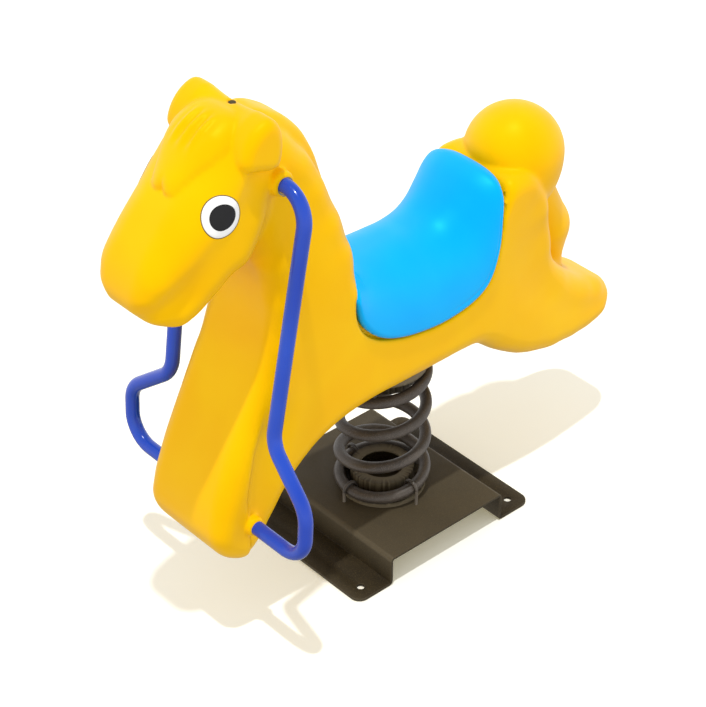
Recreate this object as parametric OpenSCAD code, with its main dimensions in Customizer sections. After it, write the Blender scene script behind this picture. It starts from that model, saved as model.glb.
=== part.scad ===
// Spring rider in the shape of a leaping horse.
// X points to the nose, Y to the horse's left, Z up; the origin is on the ground under the spring.

/* [Base] */
// Length of the base plate over both flanges, along X
base_l = 427; // [380:1:520]
// Width of the base plate, along Y
base_w = 350; // [300:1:420]
// Length of the raised middle of the base plate
hat_l = 275; // [250:1:320]
// Height of the raised middle over the ground
hat_h = 61; // [50:1:90]
// Thickness of the folded plate
plate_t = 6; // [4:0.5:8]
// Radius of the corners of the flanges
flange_corner_r = 20; // [10:1:25]
// Diameter of the ground bolt holes
ground_hole_d = 14; // [10:0.5:18]
// Spacing of the ground bolt holes along X
ground_span_x = 366; // [340:1:376]
// Spacing of the ground bolt holes along Y
ground_span_y = 292; // [240:1:300]

/* [Spring] */
// Outer diameter of the coil
spring_od = 178; // [160:1:190]
// Diameter of the spring wire
wire_d = 22; // [18:0.5:24]
// Height of the spring between its seats
spring_h = 260; // [230:1:300]
// Turns that rise from one flat end to the other
active_turns = 3.5; // [3.2:0.05:3.8]
// Angle at which the upper end of the wire stops
spring_end = 39; // [34:1:44]

/* [Spring clamps] */
// Diameter of the U-bolts over the end coils
clamp_rod_d = 6; // [5:0.5:8]
// Thickness of the seat flanges that the end coils rest on
seat_flange_t = 9; // [6:0.5:12]
// Height of the seat cups inside the end coils
seat_h = 39; // [30:1:50]
// Wall of the seat cups
seat_wall = 4; // [3:0.5:6]
// Diameter of the hole in a seat cup
seat_hole_d = 80; // [60:1:90]

/* [Mount plate] */
// Thickness of the plate under the belly
mount_t = 6; // [5:0.5:8]
// Length of the mount plate, along X
mount_l = 284; // [270:1:300]
// Width of the ends of the mount plate
mount_end_w = 110; // [90:1:120]
// Spacing of the body bolts along X
mount_span_x = 248; // [240:1:256]
// Spacing of the body bolts along Y
mount_span_y = 70; // [50:1:80]
// Diameter of the body bolts
mount_bolt_d = 10; // [8:1:12]

/* [Body] */
// Width of the horse body
body_w = 204; // [190:1:220]
// Wall of the moulded body
wall = 7; // [5:0.5:9]
// Rounding of the edges of trunk and foreleg, which the neck and the head exceed
edge_r = 40; // [32:1:46]
// Radius of the ball of the tail
tail_ball_r = 88; // [76:1:96]

/* [Saddle] */
// Width of the saddle over its flaps
saddle_w = 220; // [210:1:236]
// Thickness of the saddle
saddle_t = 16; // [12:0.5:20]
// Gap between saddle and body
saddle_gap = 0.5; // [0.3:0.1:1.5]
// Diameter of the saddle bolts
saddle_bolt_d = 8; // [6:1:10]

/* [Handles] */
// Outer diameter of the handle tube
tube_d = 25.4; // [22:0.1:28]
// Wall of the handle tube
tube_wall = 2.6; // [1.5:0.1:3.2]
// Bend radius of the tube, to its middle
bend_r = 40; // [34:1:46]
// Distance of the top corner of a handle from the middle plane
grip_y = 148; // [140:1:160]
// Distance of the footrest's outer corner from the middle plane
footrest_y = 232; // [215:1:250]
// Wall of the cross sleeves that take the tube ends
sleeve_wall = 2.5; // [2:0.1:4]
// Depth of the tube ends in their sleeves
tube_depth = 62; // [45:1:70]
// Diameter of the set screws
set_screw_d = 6; // [5:0.5:8]

/* [Eyes] */
// Diameter of the white of an eye
eye_d = 66; // [58:1:74]
// Diameter of a pupil
pupil_d = 40; // [30:1:48]
// Thickness of the rim of the white of an eye
eye_t = 4; // [3.5:0.5:6]

/* [Clearances] */
// Gap round pieces that slip into one another
slip = 0.3; // [0.2:0.05:0.5]

/* [Hidden] */
$fn = 48;
eps = 0.01;

// Heights of the seats of the spring, and of the belly that rests on the mount plate
spring_z = hat_h + seat_flange_t;
mount_z = spring_z + spring_h + seat_flange_t;
belly_z = mount_z + mount_t;

// Coil and clamps
coil_r = (spring_od - wire_d) / 2;
ease_turns = 0.2;
pitch = (spring_h - wire_d) / (active_turns - ease_turns);
coil_end_gap = 1.5;
flat_turns = 1 - (wire_d + coil_end_gap) / pitch - ease_turns / 2;
total_turns = active_turns + 2 * flat_turns;
coil_seat_gap = 0.15;
coil_rings_per_turn = 24;
coil_sides = 12;
clamp_gap = 0.5;
clamp_r = (wire_d + clamp_rod_d) / 2 + clamp_gap;
clamp_rise_gap = 1;
lower_clamp_angles = [0, 90, 270];
upper_clamp_angles = [spring_end - 40, spring_end - 200];
seat_r = coil_r - clamp_r - clamp_rod_d / 2 - 2;
seat_flange_r = coil_r + 2;
washer_t = 1.6;
nut_h = 5;
thread_end = 3;

// Bolts of the body and of the saddle
head_share = 1.85;
head_h_share = 0.65;
bolt_head_h = head_h_share * mount_bolt_d;
saddle_head_h = head_h_share * saddle_bolt_d;
insert_wall = 3;
insert_l = 20;
insert_r = mount_bolt_d / 2 + insert_wall;
insert_boss_wall = 5;
belly_hole_l = 208;
belly_hole_w = 100;
belly_flat_over = 6;
mount_lug_r = 16;
belly_flat_l = max(mount_l, mount_span_x + 2 * mount_lug_r) + 2 * belly_flat_over;
saddle_bolt_x = [24, -34];
saddle_insert_l = 9;
saddle_pad_t = 12;
saddle_bolt_end_gap = 2;
saddle_insert_wall = 3;
saddle_insert_d = saddle_bolt_d + 2 * saddle_insert_wall;
// Reach of what is cut away, past the skin of the body
cut_over = 60;

// Handle tubes: corners of the left one, over the belly
boss_top = [292, 508];
boss_low = [385, -114];
bend_lap = 0.2;
bend_swell = 0.03;
jog_y = 128;
jog_at = [373, 67];
foot_top = [381, -10];
sleeve_r = tube_d / 2 + slip + sleeve_wall;
boss_wall = 5;
boss_r = sleeve_r + boss_wall;
boss_round = 4;
boss_l = 50;
boss_face_l = 3;
boss_root_l = 5;
boss_flare = 8;
boss_top_in = 2;
boss_low_out = 8;
boss_top_y = body_w / 2 - boss_top_in;
boss_low_y = body_w / 2 + boss_low_out;
sleeve_inset = 8;
screw_inset = 13;
handle_points = [[boss_top[0], boss_top_y - tube_depth, boss_top[1]],
                 [boss_top[0], grip_y, boss_top[1]],
                 [jog_at[0], jog_y, jog_at[1]],
                 [foot_top[0], footrest_y, foot_top[1]],
                 [boss_low[0], footrest_y, boss_low[1]],
                 [boss_low[0], boss_low_y - tube_depth, boss_low[1]]];

// Eyes: middle of the left one, over the belly, and the way that it faces
eye_at = [416, 89, 502];
eye_tilt = 72;
eye_turn = 69;
eye_ball_r = 75;
eye_proud = 1.5;
eye_crown = eye_ball_r - sqrt(eye_ball_r * eye_ball_r - eye_d * eye_d / 4);
eye_depth = eye_crown - eye_proud + eye_t;
pupil_t = 2;
pupil_proud = 0.6;
pupil_crown = eye_ball_r - sqrt(eye_ball_r * eye_ball_r - pupil_d * pupil_d / 4);
pupil_floor = eye_proud - pupil_crown - pupil_t;

// Body lines over the belly, from the poll down the neck, round the foreleg and along the trunk to the
// hind stub: front or underside x and z, back or top x and z, share of the half width, shares of the edge
// rounding at the front or underside and at the back or top
body_lines = [[370, 612, 300, 600, 0.60, 1.5, 1.2], [388, 570, 268, 588, 0.74, 1.9, 1.1],
              [385, 515, 234, 548, 0.78, 2, 1], [360, 455, 203, 505, 0.81, 2, 0.9],
              [335, 395, 178, 445, 0.84, 2, 0.9], [312, 325, 153, 370, 0.89, 2, 0.9],
              [306, 255, 143, 308, 0.94, 1.8, 0.9], [320, 185, 139, 270, 0.98, 1.4, 1],
              [345, 122, 120, 262, 1.00, 1.1, 1.1], [382, 47, 94, 258, 1.00, 1, 1.2],
              [418, -25, 80, 256, 0.99, 1, 1.2], [445, -88, 69, 254, 0.98, 1, 1.2],
              [452, -126, 60, 252, 0.98, 1, 1.2], [438, -161, 52, 251, 0.98, 1, 1.2],
              [410, -187, 45, 250, 0.98, 1, 1.1], [376, -195, 38, 249, 0.98, 1, 1],
              [350, -178, 30, 248, 0.98, 1, 1], [322, -133, 22, 247, 0.98, 1, 1],
              [292, -86, 14, 246, 0.98, 1, 1], [242, -41, 6, 246, 0.99, 1, 1],
              [184, -14, -4, 246, 1.00, 1, 1], [110, -3, -16, 247, 1.00, 1, 1],
              [30, -3, -32, 248, 1.00, 1, 1], [-60, -3, -62, 250, 1.00, 1, 1],
              [-110, -3, -88, 264, 1.00, 1, 1], [-150, -8, -108, 300, 1.00, 1, 1],
              [-200, -45, -150, 318, 0.98, 1, 1.1], [-262, -82, -212, 315, 0.95, 1, 1.1],
              [-330, -103, -272, 288, 0.91, 1, 1], [-390, -110, -316, 212, 0.88, 1, 1],
              [-435, -112, -345, 125, 0.85, 1, 1], [-466, -108, -380, 55, 0.82, 1, 1],
              [-494, -97, -434, 5, 0.79, 1, 1], [-512, -77, -485, -28, 0.72, 1, 1],
              [-516, -64, -510, -48, 0.50, 1, 1]];
// The hollow of foreleg and neck, then of the trunk, drawn on the outside and taken in by the wall
neck_hollow_lines = [[376, -173, 415, -170, 0.80, 1], [335, -125, 438, -118, 0.92, 1],
                     [250, -30, 408, -25, 1.00, 1], [150, 100, 348, 110, 1.00, 1],
                     [140, 215, 314, 205, 0.96, 1.2], [146, 300, 300, 270, 0.92, 1.4],
                     [163, 385, 310, 335, 0.88, 1.6], [208, 500, 352, 455, 0.80, 1.6],
                     [275, 575, 375, 550, 0.72, 1.6]];
trunk_hollow_lines = [[215, -20, 150, 262, 0.98, 1], [110, 0, 60, 248, 1.00, 1],
                      [0, 0, 0, 243, 1.00, 1], [-75, 0, -60, 247, 1.00, 1],
                      [-150, -3, -105, 288, 1.00, 1], [-200, -42, -155, 312, 0.98, 1],
                      [-262, -78, -213, 308, 0.95, 1], [-330, -98, -270, 280, 0.91, 1],
                      [-385, -106, -312, 205, 0.88, 1], [-432, -108, -341, 120, 0.85, 1]];
// Top x and z, underside x and z, share of the half width, share of the edge rounding
head_lines = [[290, 590, 260, 470, 0.70, 1.6], [345, 620, 290, 430, 0.84, 1.6],
              [395, 594, 330, 380, 0.92, 1.6], [432, 552, 372, 350, 0.95, 1.6],
              [472, 507, 415, 325, 0.88, 1.6], [512, 460, 460, 312, 0.80, 1.6],
              [540, 418, 497, 312, 0.74, 1.6], [553, 380, 527, 332, 0.62, 1.6],
              [552, 360, 542, 347, 0.40, 1.6]];
// Top x and z, lower rim x and z, share of the half width of the saddle
saddle_lines = [[128, 268, 152, 229, 1], [98, 257, 138, 179, 1], [62, 252, 104, 140, 1],
                [25, 250, 60, 117, 1], [-12, 250, 5, 104, 1], [-48, 250, -55, 100, 1],
                [-83, 257, -118, 110, 1], [-106, 284, -157, 136, 1], [-125, 311, -178, 190, 1],
                [-147, 325, -186, 250, 0.99], [-178, 328, -191, 285, 0.95],
                [-206, 322, -194, 304, 0.82]];
// Mane along the crest: foot in the neck x and z, crest x and z, then the shares as for the head
mane_lines = [[345, 570, 300, 614, 0.39, 0.55], [300, 535, 250, 600, 0.39, 0.55],
              [268, 495, 205, 560, 0.37, 0.5], [236, 450, 174, 508, 0.35, 0.5],
              [212, 390, 153, 444, 0.32, 0.45], [188, 335, 134, 376, 0.28, 0.4],
              [168, 298, 126, 322, 0.24, 0.35]];
// Tail: x, z and radius of the rounds under its ball
tail_ball_at = [-308, 298];
tail_rounds = [[-345, 215, 48], [-385, 130, 46], [-402, 72, 48], [-418, 5, 38]];
tail_root_back = 30;
tail_root_drop = 20;
tail_root_less = 28;
tail_root = [tail_ball_at[0] - tail_root_back, tail_ball_at[1] - tail_root_drop, tail_ball_r - tail_root_less];
// Forelock: x, z and radius along a lock, and the sideways places of its locks
lock_rounds = [[325, 596, 30], [390, 578, 28], [456, 512, 11]];
lock_sides = [-36, 0, 36];
// Vent plug in the crest, behind the root of the middle lock
vent_back = 7;
vent_at = [lock_rounds[0][0] - vent_back, lock_rounds[0][1] + lock_rounds[0][2]];
vent_d = 12;
vent_l = 14;
// Ears: x, y, z and radius of the rounds of the left one
ear_rounds = [[330, 30, 592, 42], [322, 62, 594, 43], [316, 84, 588, 34]];

function wave(rows, i, t) =
    let (a = rows[max(i - 1, 0)], b = rows[i], c = rows[i + 1], d = rows[min(i + 2, len(rows) - 1)])
    0.5 * (2 * b + (c - a) * t + (2 * a - 5 * b + 4 * c - d) * t * t + (3 * b - a - 3 * c + d) * t * t * t);
function smooth(rows, n) =
    let (last = len(rows) - 1)
    concat([for (i = [0 : last - 1]) for (k = [0 : n - 1]) wave(rows, i, k / n)], [rows[last]]);

// A rounded slab section between two points of the middle plane
ring_steps = 3;
least_round = 6;
round_limit = 0.98;
// Slanting sections are hollowed further at their ends than at their sides
end_share = 1.8;
function slab_ring(row, inset) =
    let (a = [row[0], row[1]], b = [row[2], row[3]], mid = (a + b) / 2, dir = (b - a) / norm(b - a),
         half_l = max(norm(b - a) / 2 - end_share * inset, 2), half_w = body_w / 2 * row[4] - inset,
         rounds = [for (share = [row[5], is_undef(row[6]) ? row[5] : row[6]])
             min(max(edge_r * share - inset, least_round), half_l * round_limit, half_w * round_limit)])
    [for (q = [0 : 3]) for (k = [0 : ring_steps])
        let (turn = 90 * (q + k / ring_steps), back = q == 0 || q == 3, r = rounds[back ? 1 : 0],
             s = (back ? 1 : -1) * (half_l - r) + r * cos(turn),
             y = (q < 2 ? 1 : -1) * (half_w - r) + r * sin(turn))
        [mid[0] + dir[0] * s, y, mid[1] + dir[1] * s]];

module skin(rings) {
    n = len(rings[0]);
    top = len(rings) - 1;
    sides = [for (i = [0 : top - 1]) for (j = [0 : n - 1])
        let (k = (j + 1) % n)
        each [[i * n + j, i * n + n + j, i * n + n + k], [i * n + j, i * n + n + k, i * n + k]]];
    lower_cap = [for (j = [0 : n / 2 - 2])
        each [[j, j + 1, n - 1 - j], [j + 1, n - 2 - j, n - 1 - j]]];
    upper_cap = [for (face = lower_cap) [for (j = [2, 1, 0]) top * n + face[j]]];
    polyhedron(points = [for (ring = rings) each ring], faces = concat(sides, lower_cap, upper_cap));
}

module slab_form(lines, inset, steps) {
    skin([for (row = smooth(lines, steps)) slab_ring(row, inset)]);
}

// One arc of the saddle from rim to rim, grown outwards by grow and lengthened at the rim by drop
saddle_power = 2.8;
saddle_arc_steps = 14;
saddle_row_steps = 2;
function saddle_arc(row, grow, drop) =
    let (top = [row[0], row[1]], rim = [row[2], row[3]], dir = (top - rim) / norm(top - rim),
         low = rim - dir * drop, rise = norm(top - low) + grow, half_w = saddle_w / 2 * row[4] + grow)
    [for (k = [0 : saddle_arc_steps])
        let (a = -90 + 180 * k / saddle_arc_steps, f = pow(max(cos(a), 0), 2 / saddle_power),
             y = half_w * sign(a) * pow(abs(sin(a)), 2 / saddle_power))
        [low[0] + dir[0] * rise * f, y, low[1] + dir[1] * rise * f]];
function backwards(list) = [for (i = [len(list) - 1 : -1 : 0]) list[i]];
function shifted(row, dx) = row + [dx, 0, dx, 0, 0];

// Sheet between two growths of the saddle's outside, spread past its rim by spread
module saddle_sheet(inner, outer, spread) {
    rows = smooth(saddle_lines, saddle_row_steps);
    last = len(rows) - 1;
    long_rows = [for (i = [0 : last]) shifted(rows[i], i == 0 ? spread : i == last ? -spread : 0)];
    skin([for (row = long_rows)
        concat(saddle_arc(row, outer, spread), backwards(saddle_arc(row, inner, spread)))]);
}

module at_belly() { translate([0, 0, belly_z]) children(); }
module both_sides() {
    children();
    mirror([0, 1, 0]) children();
}
module across(at, y) { translate([at[0], y, at[1]]) rotate([-90, 0, 0]) children(); }
module ball(x, y, z, r) { translate([x, y, z]) sphere(r, $fn = 16); }

// Folded base plate
module hat_outline() {
    half = hat_l / 2;
    union() {
        translate([-half, hat_h - plate_t]) square([hat_l, plate_t]);
        for (side = [-1, 1]) {
            translate([side * (half - plate_t / 2) - plate_t / 2, 0]) square([plate_t, hat_h]);
            translate([side > 0 ? half - plate_t : -base_l / 2, 0])
                square([base_l / 2 - half + plate_t, plate_t]);
        }
    }
}
module base_plan() {
    r = flange_corner_r;
    square([base_l - 2 * r, base_w], center = true);
    square([base_l, base_w - 2 * r], center = true);
    for (x = [-1, 1]) for (y = [-1, 1]) translate([x * (base_l / 2 - r), y * (base_w / 2 - r)]) circle(r);
}
module base_plate() {
    color("#3b322b") difference() {
        intersection() {
            translate([0, base_w / 2, 0]) rotate([90, 0, 0]) linear_extrude(base_w) hat_outline();
            linear_extrude(hat_h) base_plan();
        }
        for (x = [-1, 1]) for (y = [-1, 1])
            translate([x * ground_span_x / 2, y * ground_span_y / 2, -1])
                cylinder(d = ground_hole_d, h = plate_t + 2);
        for (a = lower_clamp_angles) for (side = [-1, 1])
            rotate(a) translate([coil_r + side * clamp_r, 0, hat_h - plate_t - 1])
                cylinder(d = clamp_rod_d + 2 * slip, h = plate_t + 2);
    }
}

// Cup that centres an end coil, on a flange that the coil rests on
module spring_seat(clamp_angles) {
    hole_r = seat_hole_d / 2;
    difference() {
        rotate_extrude() {
            translate([hole_r, 0]) square([seat_flange_r - hole_r, seat_flange_t]);
            translate([seat_r - seat_wall, 0]) square([seat_wall, seat_h]);
            translate([hole_r, seat_h - seat_wall]) square([seat_r - hole_r, seat_wall]);
        }
        clamp_ends(clamp_angles) translate([0, 0, -1])
            cylinder(d = clamp_rod_d + 2 * slip, h = seat_flange_t + 2);
    }
}
module lower_spring_seat() {
    color("#3b322b") translate([0, 0, hat_h]) spring_seat(lower_clamp_angles);
}
module upper_spring_seat() {
    color("#3b322b") translate([0, 0, mount_z]) mirror([0, 0, 1]) spring_seat(upper_clamp_angles);
}

// Coil: height of its middle at u turns past the lower flat end
function ramp(u) = u <= 0 ? 0 : u < ease_turns ? u * u / (2 * ease_turns) : u - ease_turns / 2;
function coil_rise(u) =
    u < active_turns / 2 ? pitch * ramp(u) : spring_h - wire_d - pitch * ramp(active_turns - u);
function coil_angle(t) = spring_end + 360 * (t - total_turns);
function coil_point(t) =
    let (a = coil_angle(t))
    [coil_r * cos(a), coil_r * sin(a), spring_z + wire_d / 2 + coil_rise(t - flat_turns)];
coil_ring_count = ceil(total_turns * coil_rings_per_turn);
coil_turns = [for (i = [0 : coil_ring_count]) total_turns * i / coil_ring_count];
coil_slope = 0.001;
function coil_ring(t) =
    let (way = coil_point(t + coil_slope) - coil_point(t - coil_slope), dir = way / norm(way),
         out = [cos(coil_angle(t)), sin(coil_angle(t)), 0], up = cross(dir, out), mid = coil_point(t))
    [for (k = [0 : coil_sides - 1])
        let (a = 360 * k / coil_sides) mid + (wire_d / 2 - coil_seat_gap) * (cos(a) * out + sin(a) * up)];
// Least gap of the coil to itself, between points at least half a turn apart
coil_gap = min([for (i = [0 : coil_ring_count]) for (j = [i + coil_rings_per_turn / 2 : coil_ring_count])
    norm(coil_point(coil_turns[i]) - coil_point(coil_turns[j]))]) - wire_d;
echo(least_gap_of_coil_mm = coil_gap);
module coil_spring() { color("#3b322b") skin([for (t = coil_turns) coil_ring(t)]); }

// U-bolt over an end coil whose middle lies rise over its plate; the plate is grip thick
function lower_turn(a) = ((a - coil_angle(0)) % 360 + 360) % 360 / 360;
function upper_turn(a) = total_turns - ((coil_angle(total_turns) - a) % 360 + 360) % 360 / 360;
function lower_rise(a) = coil_point(lower_turn(a))[2] - hat_h + clamp_rise_gap;
function upper_rise(a) = mount_z - coil_point(upper_turn(a))[2] + clamp_rise_gap;
module u_bolt(rise, grip) {
    tail = grip + washer_t + nut_h + thread_end;
    translate([coil_r, 0, rise]) rotate([90, 0, 0])
        rotate_extrude(angle = 180) translate([clamp_r, 0]) circle(d = clamp_rod_d);
    for (side = [-1, 1])
        translate([coil_r + side * clamp_r, 0, -tail]) cylinder(d = clamp_rod_d, h = tail + rise);
}
module clamp_ends(angles) {
    for (a = angles) for (side = [-1, 1]) rotate(a) translate([coil_r + side * clamp_r, 0, 0]) children();
}
module clamp_washer() {
    difference() {
        cylinder(d = 2.1 * clamp_rod_d, h = washer_t);
        translate([0, 0, -1]) cylinder(d = clamp_rod_d + 2 * slip, h = washer_t + 2);
    }
}
module clamp_nut() {
    difference() {
        cylinder(d = 1.9 * clamp_rod_d, h = nut_h, $fn = 6);
        translate([0, 0, -1]) cylinder(d = clamp_rod_d + 2 * slip, h = nut_h + 2);
    }
}
module lower_spring_clamps() {
    color("#4a423b") for (a = lower_clamp_angles)
        translate([0, 0, hat_h]) rotate(a) u_bolt(lower_rise(a), plate_t);
}
module lower_clamp_washers() {
    color("silver") translate([0, 0, hat_h - plate_t - washer_t])
        clamp_ends(lower_clamp_angles) clamp_washer();
}
module lower_clamp_nuts() {
    color("silver") translate([0, 0, hat_h - plate_t - washer_t - nut_h])
        clamp_ends(lower_clamp_angles) clamp_nut();
}
module upper_spring_clamps() {
    color("#4a423b") for (a = upper_clamp_angles)
        translate([0, 0, mount_z]) mirror([0, 0, 1]) rotate(a) u_bolt(upper_rise(a), mount_t);
}
module upper_clamp_washers() {
    color("silver") translate([0, 0, belly_z]) clamp_ends(upper_clamp_angles) clamp_washer();
}
module upper_clamp_nuts() {
    color("silver") translate([0, 0, belly_z + washer_t]) clamp_ends(upper_clamp_angles) clamp_nut();
}

// Plate under the belly
module mount_places() {
    for (x = [-1, 1]) for (y = [-1, 1])
        translate([x * mount_span_x / 2, y * mount_span_y / 2, 0]) children();
}
module upper_mount_plate() {
    color("#3b322b") translate([0, 0, mount_z]) difference() {
        union() {
            cylinder(r = seat_flange_r, h = mount_t);
            translate([-mount_l / 2, -mount_end_w / 2, 0]) cube([mount_l, mount_end_w, mount_t]);
            mount_places() cylinder(r = mount_lug_r, h = mount_t);
        }
        mount_places() translate([0, 0, -1]) cylinder(d = mount_bolt_d + 2 * slip, h = mount_t + 2);
        clamp_ends(upper_clamp_angles) translate([0, 0, -1])
            cylinder(d = clamp_rod_d + 2 * slip, h = mount_t + 2);
    }
}
module body_bolts() {
    color("silver") mount_places() {
        translate([0, 0, mount_z - washer_t - bolt_head_h])
            cylinder(d = head_share * mount_bolt_d, h = bolt_head_h, $fn = 6);
        translate([0, 0, mount_z - washer_t - eps])
            cylinder(d = mount_bolt_d, h = washer_t + mount_t + insert_l - 2);
    }
}
module body_bolt_washers() {
    color("silver") mount_places() translate([0, 0, mount_z - washer_t]) difference() {
        cylinder(d = 2.1 * mount_bolt_d, h = washer_t);
        translate([0, 0, -1]) cylinder(d = mount_bolt_d + 2 * slip, h = washer_t + 2);
    }
}
module body_inserts() {
    color("goldenrod") at_belly() mount_places() difference() {
        cylinder(r = insert_r, h = insert_l);
        translate([0, 0, -1]) cylinder(d = mount_bolt_d + 2 * slip, h = insert_l);
    }
}

// Horse body: outside, then what is hollow
module horse_outside() {
    slab_form(body_lines, 0, 2);
    slab_form(head_lines, 0, 2);
    slab_form(mane_lines, 0, 2);
    ball(tail_ball_at[0], 0, tail_ball_at[1], tail_ball_r);
    tail = concat([tail_root], tail_rounds);
    for (i = [0 : len(tail) - 2]) hull() for (p = [tail[i], tail[i + 1]]) ball(p[0], 0, p[1], p[2]);
    for (y = lock_sides) for (i = [0 : len(lock_rounds) - 2])
        hull() for (p = [lock_rounds[i], lock_rounds[i + 1]]) ball(p[0], y, p[1], p[2]);
    both_sides() hull() for (p = ear_rounds) ball(p[0], p[1], p[2], p[3]);
    both_sides() tube_boss(boss_top, boss_top_y);
    both_sides() tube_boss(boss_low, boss_low_y);
}
module tube_boss(at, y) {
    hull() {
        across(at, y - boss_face_l - boss_round) cylinder(r = boss_r, h = boss_face_l, $fn = 32);
        across(at, y - boss_face_l) cylinder(r = boss_r - boss_round, h = boss_face_l, $fn = 32);
        across(at, y - boss_l) cylinder(r = boss_r + boss_flare, h = boss_root_l, $fn = 32);
    }
}
module body_hollow() {
    pad_h = cut_over + insert_l + wall;
    difference() {
        union() {
            slab_form(neck_hollow_lines, wall, 1);
            slab_form(trunk_hollow_lines, wall, 1);
            slab_form([for (i = [0 : len(head_lines) - 3]) head_lines[i]], wall, 1);
        }
        saddle_sheet(-saddle_t - saddle_gap - wall, cut_over, saddle_gap + wall);
        mount_places() translate([0, 0, -cut_over])
            cylinder(r = insert_r + insert_boss_wall, h = pad_h, $fn = 20);
        for (x = saddle_bolt_x) translate([x, 0, saddle_floor(x) - saddle_pad_t])
            cylinder(d = 4 * saddle_bolt_d, h = cut_over, $fn = 20);
        both_sides() at_eye() translate([0, 0, -eye_depth - wall])
            cylinder(d = eye_d + 2 * wall, h = cut_over, $fn = 28);
        translate([vent_at[0], 0, vent_at[1] - vent_l - wall])
            cylinder(d = vent_d + 2 * wall, h = cut_over, $fn = 20);
    }
}
module horse_body() {
    color("#f0b519") at_belly() difference() {
        horse_outside();
        body_hollow();
        saddle_sheet(-saddle_t - saddle_gap, cut_over, saddle_gap);
        translate([-belly_flat_l / 2, -body_w / 2, -cut_over]) cube([belly_flat_l, body_w, cut_over]);
        translate([-belly_hole_l / 2, -belly_hole_w / 2, -1]) cube([belly_hole_l, belly_hole_w, 3 * wall]);
        mount_places() translate([0, 0, -1])
            cylinder(r = insert_r + slip, h = insert_l + 1 + slip, $fn = 24);
        both_sides() for (at = [boss_top, boss_low]) {
            across(at, -eps) cylinder(r = sleeve_r + slip, h = sleeve_end(at) + slip, $fn = 32);
            across(at, 0) cylinder(d = tube_d + 4 * slip, h = body_w, $fn = 32);
            translate([at[0], screw_y(at), at[1]]) rotate([180, 0, 0])
                cylinder(d = set_screw_d + 4 * slip, h = 2 * boss_r, $fn = 16);
        }
        for (x = saddle_bolt_x) translate([x, 0, saddle_floor(x) - cut_over])
            cylinder(d = saddle_bolt_d + 4 * slip, h = 2 * cut_over, $fn = 20);
        both_sides() at_eye() translate([0, 0, -eye_depth - slip])
            cylinder(d = eye_d + 2 * slip, h = cut_over, $fn = 40);
        translate([vent_at[0], 0, vent_at[1] - vent_l])
            cylinder(d = vent_d + 2 * slip, h = cut_over, $fn = 24);
    }
}

// Saddle in its recess, with its bolts from inside the body
saddle_top_line = [for (row = backwards(smooth(saddle_lines, saddle_row_steps))) [row[0], row[1]]];
function saddle_floor(x) = lookup(x, saddle_top_line) - saddle_t - saddle_gap;
module saddle() {
    color("#12b9ff") at_belly() difference() {
        saddle_sheet(-saddle_t, 0, 0);
        for (x = saddle_bolt_x) translate([x, 0, saddle_floor(x) - saddle_t])
            cylinder(d = saddle_insert_d + 2 * slip, h = saddle_t + saddle_gap + saddle_insert_l + slip);
    }
}
module saddle_inserts() {
    color("goldenrod") at_belly() for (x = saddle_bolt_x)
        translate([x, 0, saddle_floor(x) + saddle_gap]) difference() {
            cylinder(d = saddle_insert_d, h = saddle_insert_l);
            translate([0, 0, -1]) cylinder(d = saddle_bolt_d + 2 * slip, h = saddle_insert_l);
        }
}
module saddle_bolts() {
    shank_l = saddle_pad_t + washer_t + saddle_gap + saddle_insert_l - saddle_bolt_end_gap;
    color("silver") at_belly() for (x = saddle_bolt_x)
        translate([x, 0, saddle_floor(x) - saddle_pad_t - washer_t]) {
            translate([0, 0, -saddle_head_h])
                cylinder(d = head_share * saddle_bolt_d, h = saddle_head_h, $fn = 6);
            translate([0, 0, -eps]) cylinder(d = saddle_bolt_d, h = shank_l);
        }
}
module saddle_bolt_washers() {
    color("silver") at_belly() for (x = saddle_bolt_x)
        translate([x, 0, saddle_floor(x) - saddle_pad_t - washer_t]) difference() {
            cylinder(d = 2.4 * saddle_bolt_d, h = washer_t);
            translate([0, 0, -1]) cylinder(d = saddle_bolt_d + 2 * slip, h = washer_t + 2);
        }
}

// Handle: straight runs and bends of a round rod through corner points
function unit(v) = v / norm(v);
function bend_turn(p, i) = acos(unit(p[i] - p[i - 1]) * unit(p[i + 1] - p[i]));
function bend_reach(p, i) = i == 0 || i == len(p) - 1 ? 0 : bend_r * tan(bend_turn(p, i) / 2);
module rod_run(p, d) {
    last = len(p) - 1;
    for (i = [0 : last - 1]) {
        way = unit(p[i + 1] - p[i]);
        start = bend_reach(p, i) - (i == 0 ? 0 : bend_lap);
        end = bend_reach(p, i + 1) - (i + 1 == last ? 0 : bend_lap);
        from = p[i] + way * start;
        run = norm(p[i + 1] - p[i]) - start - end;
        translate(from) rotate([0, acos(way[2]), atan2(way[1], way[0])]) cylinder(d = d, h = run);
    }
    for (i = [1 : len(p) - 2]) {
        a = unit(p[i] - p[i - 1]);
        b = unit(p[i + 1] - p[i]);
        inward = unit(b - a * (a * b));
        mid = p[i] - a * bend_reach(p, i) + inward * bend_r;
        up = cross(-inward, a);
        multmatrix([[-inward[0], a[0], up[0], mid[0]], [-inward[1], a[1], up[1], mid[1]],
                    [-inward[2], a[2], up[2], mid[2]], [0, 0, 0, 1]])
            rotate_extrude(angle = bend_turn(p, i)) translate([bend_r, 0]) circle(d = d + 2 * bend_swell);
    }
}
module handle() {
    color("#4161c3") at_belly() difference() {
        rod_run(handle_points, tube_d);
        rod_run(handle_points, tube_d - 2 * tube_wall);
    }
}
module left_handle() { handle(); }
module right_handle() { mirror([0, 1, 0]) handle(); }

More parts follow.
